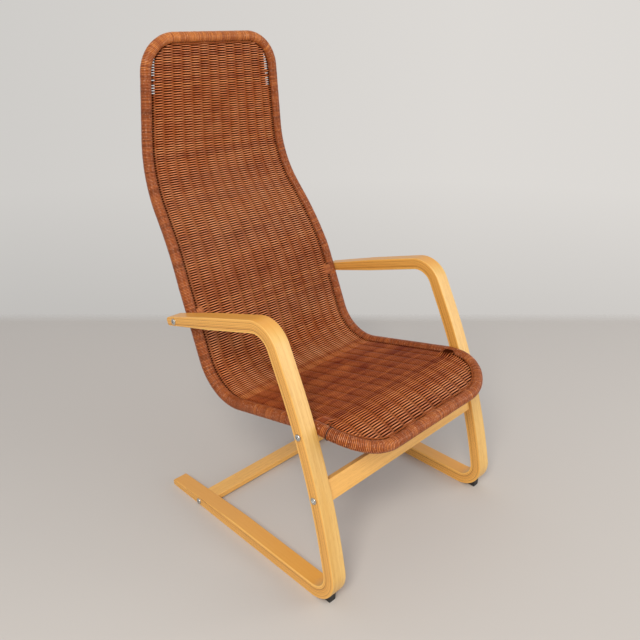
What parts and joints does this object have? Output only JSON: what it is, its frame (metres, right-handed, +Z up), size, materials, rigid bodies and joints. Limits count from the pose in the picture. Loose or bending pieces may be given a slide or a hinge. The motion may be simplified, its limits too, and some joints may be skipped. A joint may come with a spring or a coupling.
{
  "type": "bentwood armchair",
  "caption": "High-backed lounge armchair with a woven cane seat-and-back shell, its rim wrapped in cane, bolted between bent laminated wood side frames on a front rail and rear stretcher.",
  "frame": {"origin": "on the floor under the middle of the chair's overall size", "axes": "+Z up, +Y towards the back of the chair, so the sitter faces -Y, and +X towards the sitter's left"},
  "size_m": [0.5772, 0.7538, 1.1153],
  "materials": {
    "bent_laminate": "clear satin lacquer on pale laminated wood, veneer lines on the side faces",
    "board_wood": "clear satin lacquer on solid pale wood",
    "black_rubber": "matt moulded rubber",
    "plated_steel": "zinc plated",
    "dowel_wood": "bare fluted dowel wood",
    "hoop_steel": "black lacquered tube",
    "wrapped_cane": "stained split cane wound side by side, satin",
    "woven_cane": "stained round cane, satin"
  },
  "bodies": {
    "root": {"left_side_frame": "bent_laminate", "right_side_frame": "bent_laminate", "front_rail": "board_wood", "rear_stretcher": "board_wood", "left_foot": "black_rubber", "right_foot": "black_rubber", "foot_screws": "plated_steel", "arm_bolts": "plated_steel", "seat_bolts": "plated_steel", "rail_bolts": "plated_steel", "stretcher_bolts": "plated_steel", "rail_barrel_nuts": "plated_steel", "stretcher_barrel_nuts": "plated_steel", "rail_dowels": "dowel_wood", "stretcher_dowels": "dowel_wood", "shell_hoop": "hoop_steel", "rim_wrap": "wrapped_cane", "woven_panel": "woven_cane", "front_border": "woven_cane", "top_border": "woven_cane", "arm_bushes": "plated_steel", "seat_bushes": "plated_steel", "arm_washers": "plated_steel", "seat_washers": "plated_steel", "arm_nuts": "plated_steel", "seat_nuts": "plated_steel"}
  },
  "joints": []
}
